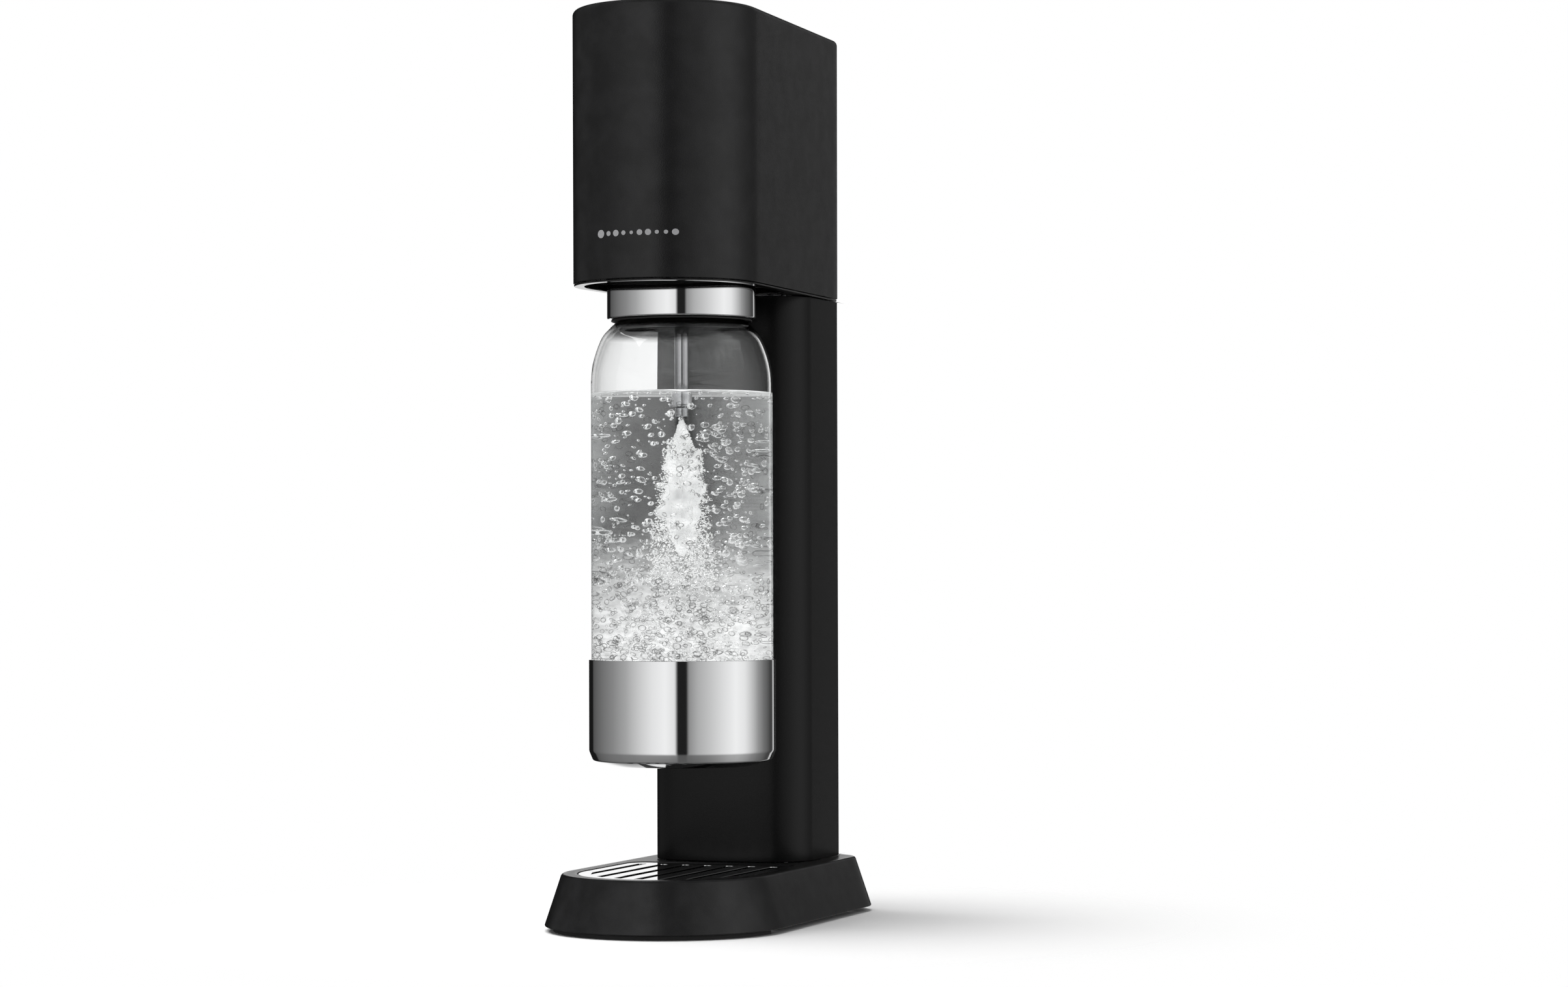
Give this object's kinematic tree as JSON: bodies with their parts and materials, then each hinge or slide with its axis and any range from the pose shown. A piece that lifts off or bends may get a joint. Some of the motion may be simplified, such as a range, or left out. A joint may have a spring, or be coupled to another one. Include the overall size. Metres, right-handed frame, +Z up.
{
  "type": "soda carbonator",
  "caption": "Countertop soda maker: tall rounded head on a column, tilting collar that holds a clear bottle, push button, gas cylinder in the column, drip tray with grille.",
  "frame": {"origin": "on the surface the machine stands on, under the middle of its bounding box", "axes": "+Z up, -Y is the front where the bottle hangs, +X is the machine's right side seen from the front"},
  "size_m": [0.1152, 0.205, 0.4307],
  "materials": {
    "satin_black": "satin moulded black with a fine grain",
    "inner_black": "plain moulded black",
    "chrome": "polished chrome plate",
    "rubber": "matt soft rubber",
    "clear_plastic": "clear moulded bottle wall",
    "steel": "plain zinc-plated steel",
    "brass": "machined brass",
    "cylinder_enamel": "gloss enamel on aluminium",
    "white_plastic": "plain moulded white"
  },
  "bodies": {
    "frame": {"base_housing": "satin_black", "base_bottom_plate": "inner_black", "front_foot": "rubber", "rear_foot_left": "rubber", "rear_foot_right": "rubber", "column_shell": "satin_black", "head_shell": "satin_black", "head_rim": "inner_black", "recess_liner": "inner_black", "chassis_plate": "steel", "button_guide": "inner_black", "button_spring": "steel", "lever_pin": "steel", "valve_block": "brass", "relief_valve": "brass", "gas_hose": "rubber", "hose_fitting": "brass", "holder_pin_left": "steel", "holder_pin_right": "steel", "handle_pin_left": "steel", "handle_pin_right": "steel", "base_screw_1": "steel", "base_screw_2": "steel", "base_screw_3": "steel", "base_screw_4": "steel", "chassis_screw_1": "steel", "chassis_screw_2": "steel", "chassis_screw_3": "steel", "chassis_screw_4": "steel", "column_screw_1": "steel", "column_screw_2": "steel", "column_screw_3": "steel", "column_screw_4": "steel", "head_screw_1": "steel", "head_screw_2": "steel", "head_screw_3": "steel", "head_screw_4": "steel"},
    "tray": {"drip_tray": "satin_black"},
    "grille": {"drip_grille": "chrome"},
    "rear_cover": {"rear_cover": "satin_black"},
    "latch": {"cover_latch": "inner_black"},
    "handle": {"cylinder_handle": "inner_black"},
    "cylinder": {"co2_cylinder": "cylinder_enamel", "cylinder_valve": "brass"},
    "button": {"carbonation_button": "satin_black"},
    "lever": {"actuator_lever": "steel"},
    "valve_pin": {"valve_pin": "steel"},
    "holder": {"bottle_collar": "inner_black", "collar_ring": "chrome", "bottle_seal": "rubber", "nozzle_head": "white_plastic", "nozzle_tube": "inner_black", "nozzle_body": "inner_black", "nozzle_tip": "steel"},
    "bottle": {"bottle_body": "clear_plastic", "bottle_base_cup": "chrome"}
  },
  "joints": [
    {"name": "button_press", "type": "slide", "parent": "frame", "child": "button", "axis": [0, 0, -1], "range_m": [0, 0.008], "stiffness_N_per_m": 500, "springref_m": -0.004, "deforming": ["button_spring"]},
    {"name": "lever_turn", "type": "hinge", "parent": "frame", "child": "lever", "pos_m": [0, 0.07855, 0.392], "axis": [1, 0, 0], "range_deg": [0, 4]},
    {"name": "valve_pin_press", "type": "slide", "parent": "frame", "child": "valve_pin", "axis": [0, 0, -1], "range_m": [0, 0.0016]},
    {"name": "holder_tilt", "type": "hinge", "parent": "frame", "child": "holder", "pos_m": [0, 0.01255, 0.314], "axis": [-1, 0, 0], "range_deg": [0, 12]},
    {"name": "bottle_drop", "type": "slide", "parent": "holder", "child": "bottle", "axis": [0, 0, -1], "range_m": [0, 0.025]},
    {"name": "tray_lift", "type": "slide", "parent": "frame", "child": "tray", "axis": [0, 0, 1], "range_m": [0, 0.012]},
    {"name": "grille_lift", "type": "slide", "parent": "tray", "child": "grille", "axis": [0, 0, 1], "range_m": [0, 0.008]},
    {"name": "cover_pull", "type": "slide", "parent": "frame", "child": "rear_cover", "axis": [0, 1, 0], "range_m": [0, 0.08]},
    {"name": "latch_press", "type": "slide", "parent": "rear_cover", "child": "latch", "axis": [0, -1, 0], "range_m": [0, 0.0025], "stiffness_N_per_m": 400, "springref_m": -0.002},
    {"name": "handle_turn", "type": "hinge", "parent": "frame", "child": "handle", "pos_m": [0, 0.07255, 0.286], "axis": [1, 0, 0], "range_deg": [0, 70.2]},
    {"name": "cylinder_drop", "type": "slide", "parent": "frame", "child": "cylinder", "axis": [0, 0, -1], "range_m": [0, 0.0063]}
  ],
  "couplings": [
    {"joint": "lever_turn", "follows": "button_press", "rad_per_m": 8.6207},
    {"joint": "valve_pin_press", "follows": "button_press", "ratio": 0.1966},
    {"joint": "handle_turn", "follows": "cover_pull", "rad_per_m": 15.27},
    {"joint": "cylinder_drop", "follows": "cover_pull", "ratio": 0.0775}
  ]
}
